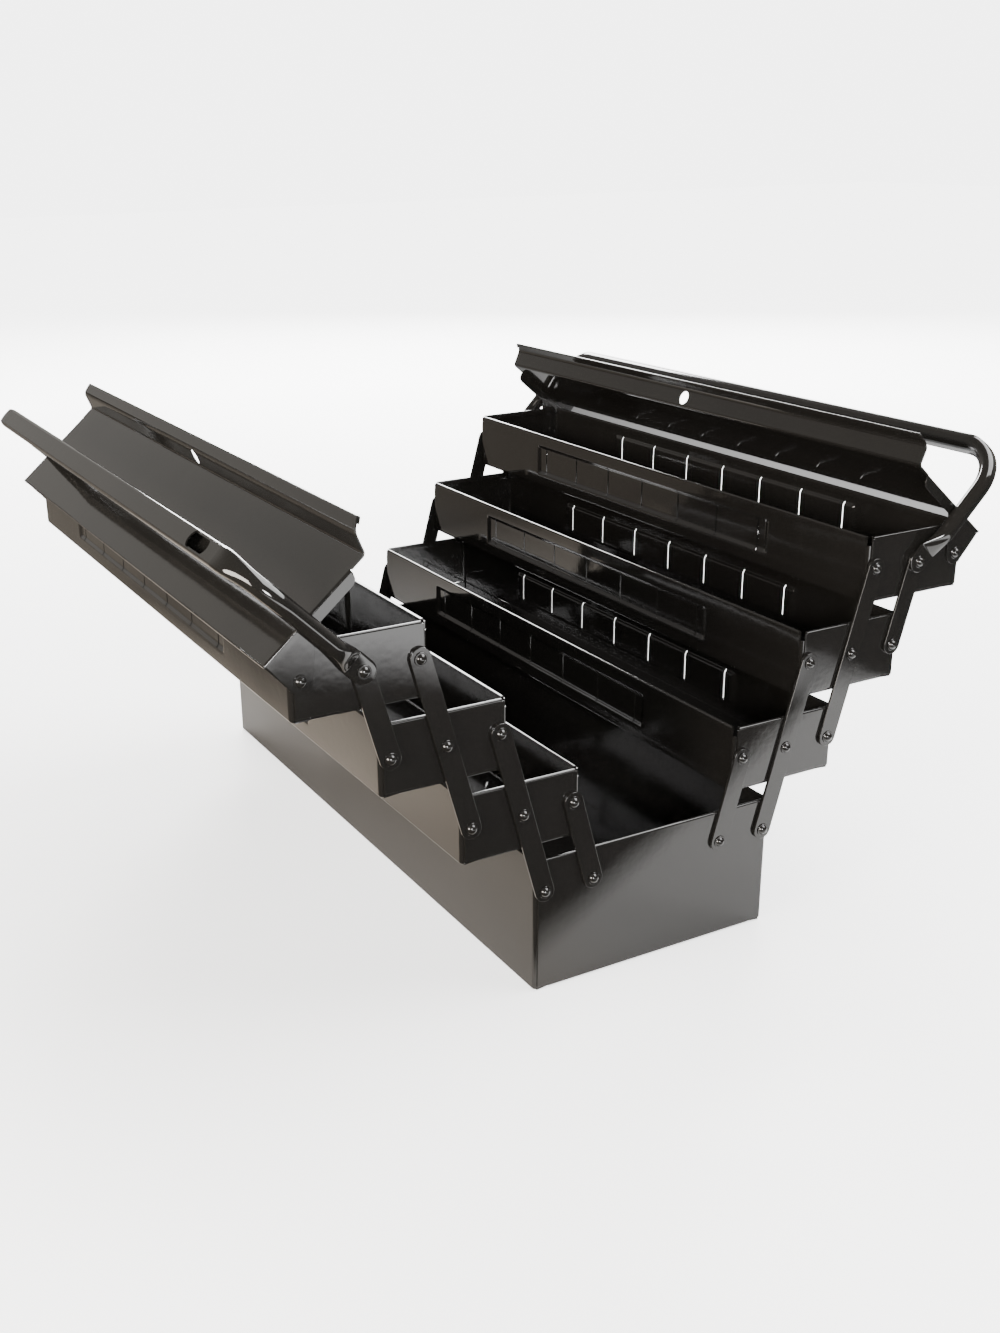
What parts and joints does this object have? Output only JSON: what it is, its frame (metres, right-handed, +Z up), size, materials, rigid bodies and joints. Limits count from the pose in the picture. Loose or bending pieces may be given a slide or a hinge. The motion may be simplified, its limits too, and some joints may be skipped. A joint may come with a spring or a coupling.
{
  "type": "cantilever toolbox",
  "caption": "Cantilever metal toolbox, open: a base box with trays that swing up and out on riveted links, hinged lids and folding carrying handles.",
  "frame": {"origin": "middle of the underside of the base box", "axes": "+X along the box towards the near end, +Y across it towards the right side, +Z up"},
  "size_m": [0.5588, 0.5806, 0.3389],
  "materials": {
    "enamel": "gloss",
    "links": "gloss",
    "rivets": "gloss",
    "handle": "gloss"
  },
  "bodies": {
    "base": {"base_tub": "enamel", "base_near_end": "enamel", "base_far_end": "enamel", "base_rivets": "rivets"},
    "right_base_short_links": {"right_base_short_link_near": "links", "right_base_short_link_far": "links"},
    "right_base_long_links": {"right_base_long_link_near": "links", "right_base_long_link_far": "links"},
    "right_tray_long_links": {"right_tray_long_link_near": "links", "right_tray_long_link_far": "links"},
    "right_tray_short_links": {"right_tray_short_link_near": "links", "right_tray_short_link_far": "links"},
    "right_tray_1": {"right_tray_1_tub": "enamel", "right_tray_1_near_end": "enamel", "right_tray_1_far_end": "enamel", "right_tray_1_rivets": "rivets"},
    "right_tray_2": {"right_tray_2_tub": "enamel", "right_tray_2_near_end": "enamel", "right_tray_2_far_end": "enamel", "right_tray_2_rivets": "rivets"},
    "right_tray_3": {"right_tray_3_tub": "enamel", "right_tray_3_near_end": "enamel", "right_tray_3_far_end": "enamel", "right_tray_3_rivets": "rivets"},
    "right_lid": {"right_lid": "enamel"},
    "right_handle": {"right_handle": "handle"},
    "left_base_short_links": {"left_base_short_link_near": "links", "left_base_short_link_far": "links"},
    "left_base_long_links": {"left_base_long_link_near": "links", "left_base_long_link_far": "links"},
    "left_tray_long_links": {"left_tray_long_link_near": "links", "left_tray_long_link_far": "links"},
    "left_tray_short_links": {"left_tray_short_link_near": "links", "left_tray_short_link_far": "links"},
    "left_tray_1": {"left_tray_1_tub": "enamel", "left_tray_1_near_end": "enamel", "left_tray_1_far_end": "enamel", "left_tray_1_rivets": "rivets"},
    "left_tray_2": {"left_tray_2_tub": "enamel", "left_tray_2_near_end": "enamel", "left_tray_2_far_end": "enamel", "left_tray_2_rivets": "rivets"},
    "left_tray_3": {"left_tray_3_tub": "enamel", "left_tray_3_near_end": "enamel", "left_tray_3_far_end": "enamel", "left_tray_3_rivets": "rivets"},
    "left_lid": {"left_lid": "enamel"},
    "left_handle": {"left_handle": "handle"}
  },
  "joints": [
    {"name": "right_open", "type": "hinge", "parent": "base", "child": "right_base_long_links", "pos_m": [0, 0.0895, 0.074], "axis": [1, 0, 0], "range_deg": [0, 53.5]},
    {"name": "right_short_link_turn", "type": "hinge", "parent": "base", "child": "right_base_short_links", "pos_m": [0, 0.052, 0.074], "axis": [1, 0, 0], "range_deg": [0, 53.51]},
    {"name": "right_tray_1_turn", "type": "hinge", "parent": "right_base_long_links", "child": "right_tray_1", "pos_m": [0, 0.10578, 0.1327], "axis": [1, 0, 0], "range_deg": [-53.51, 0]},
    {"name": "right_long_link_turn", "type": "hinge", "parent": "right_tray_1", "child": "right_tray_long_links", "pos_m": [0, 0.14328, 0.1327], "axis": [1, 0, 0], "range_deg": [0, 53.51]},
    {"name": "right_tray_2_turn", "type": "hinge", "parent": "right_base_long_links", "child": "right_tray_2", "pos_m": [0, 0.12206, 0.19139], "axis": [1, 0, 0], "range_deg": [-53.51, 0]},
    {"name": "right_tray_3_turn", "type": "hinge", "parent": "right_tray_long_links", "child": "right_tray_3", "pos_m": [0, 0.17583, 0.25009], "axis": [1, 0, 0], "range_deg": [-53.51, 0]},
    {"name": "right_top_link_turn", "type": "hinge", "parent": "right_tray_2", "child": "right_tray_short_links", "pos_m": [0, 0.19706, 0.19139], "axis": [1, 0, 0], "range_deg": [0, 53.51]},
    {"name": "right_handle_turn", "type": "hinge", "parent": "right_tray_3", "child": "right_handle", "pos_m": [0, 0.21333, 0.25009], "axis": [1, 0, 0], "range_deg": [0, 71.58]},
    {"name": "right_lid_turn", "type": "hinge", "parent": "right_tray_3", "child": "right_lid", "pos_m": [0, 0.25083, 0.25009], "axis": [1, 0, 0], "range_deg": [0, 40.51]},
    {"name": "left_open", "type": "hinge", "parent": "base", "child": "left_base_long_links", "pos_m": [0, -0.0895, 0.074], "axis": [1, 0, 0], "range_deg": [-53.5, 0]},
    {"name": "left_short_link_turn", "type": "hinge", "parent": "base", "child": "left_base_short_links", "pos_m": [0, -0.052, 0.074], "axis": [1, 0, 0], "range_deg": [-53.51, 0]},
    {"name": "left_tray_1_turn", "type": "hinge", "parent": "left_base_long_links", "child": "left_tray_1", "pos_m": [0, -0.10578, 0.1327], "axis": [1, 0, 0], "range_deg": [0, 53.51]},
    {"name": "left_long_link_turn", "type": "hinge", "parent": "left_tray_1", "child": "left_tray_long_links", "pos_m": [0, -0.14328, 0.1327], "axis": [1, 0, 0], "range_deg": [-53.51, 0]},
    {"name": "left_tray_2_turn", "type": "hinge", "parent": "left_base_long_links", "child": "left_tray_2", "pos_m": [0, -0.12206, 0.19139], "axis": [1, 0, 0], "range_deg": [0, 53.51]},
    {"name": "left_tray_3_turn", "type": "hinge", "parent": "left_tray_long_links", "child": "left_tray_3", "pos_m": [0, -0.17583, 0.25009], "axis": [1, 0, 0], "range_deg": [0, 53.51]},
    {"name": "left_top_link_turn", "type": "hinge", "parent": "left_tray_2", "child": "left_tray_short_links", "pos_m": [0, -0.19706, 0.19139], "axis": [1, 0, 0], "range_deg": [-53.51, 0]},
    {"name": "left_handle_turn", "type": "hinge", "parent": "left_tray_3", "child": "left_handle", "pos_m": [0, -0.21333, 0.25009], "axis": [1, 0, 0], "range_deg": [-71.58, 0]},
    {"name": "left_lid_turn", "type": "hinge", "parent": "left_tray_3", "child": "left_lid", "pos_m": [0, -0.25083, 0.25009], "axis": [1, 0, 0], "range_deg": [-40.51, 0]}
  ],
  "couplings": [
    {"joint": "right_short_link_turn", "follows": "right_open", "ratio": 1},
    {"joint": "right_tray_1_turn", "follows": "right_open", "ratio": -1},
    {"joint": "right_long_link_turn", "follows": "right_open", "ratio": 1},
    {"joint": "right_tray_2_turn", "follows": "right_open", "ratio": -1},
    {"joint": "right_tray_3_turn", "follows": "right_open", "ratio": -1},
    {"joint": "right_top_link_turn", "follows": "right_open", "ratio": 1},
    {"joint": "right_lid_turn", "follows": "right_handle_turn", "ratio": 0.56581},
    {"joint": "left_short_link_turn", "follows": "left_open", "ratio": 1},
    {"joint": "left_tray_1_turn", "follows": "left_open", "ratio": -1},
    {"joint": "left_long_link_turn", "follows": "left_open", "ratio": 1},
    {"joint": "left_tray_2_turn", "follows": "left_open", "ratio": -1},
    {"joint": "left_tray_3_turn", "follows": "left_open", "ratio": -1},
    {"joint": "left_top_link_turn", "follows": "left_open", "ratio": 1},
    {"joint": "left_lid_turn", "follows": "left_handle_turn", "ratio": 0.56581}
  ]
}
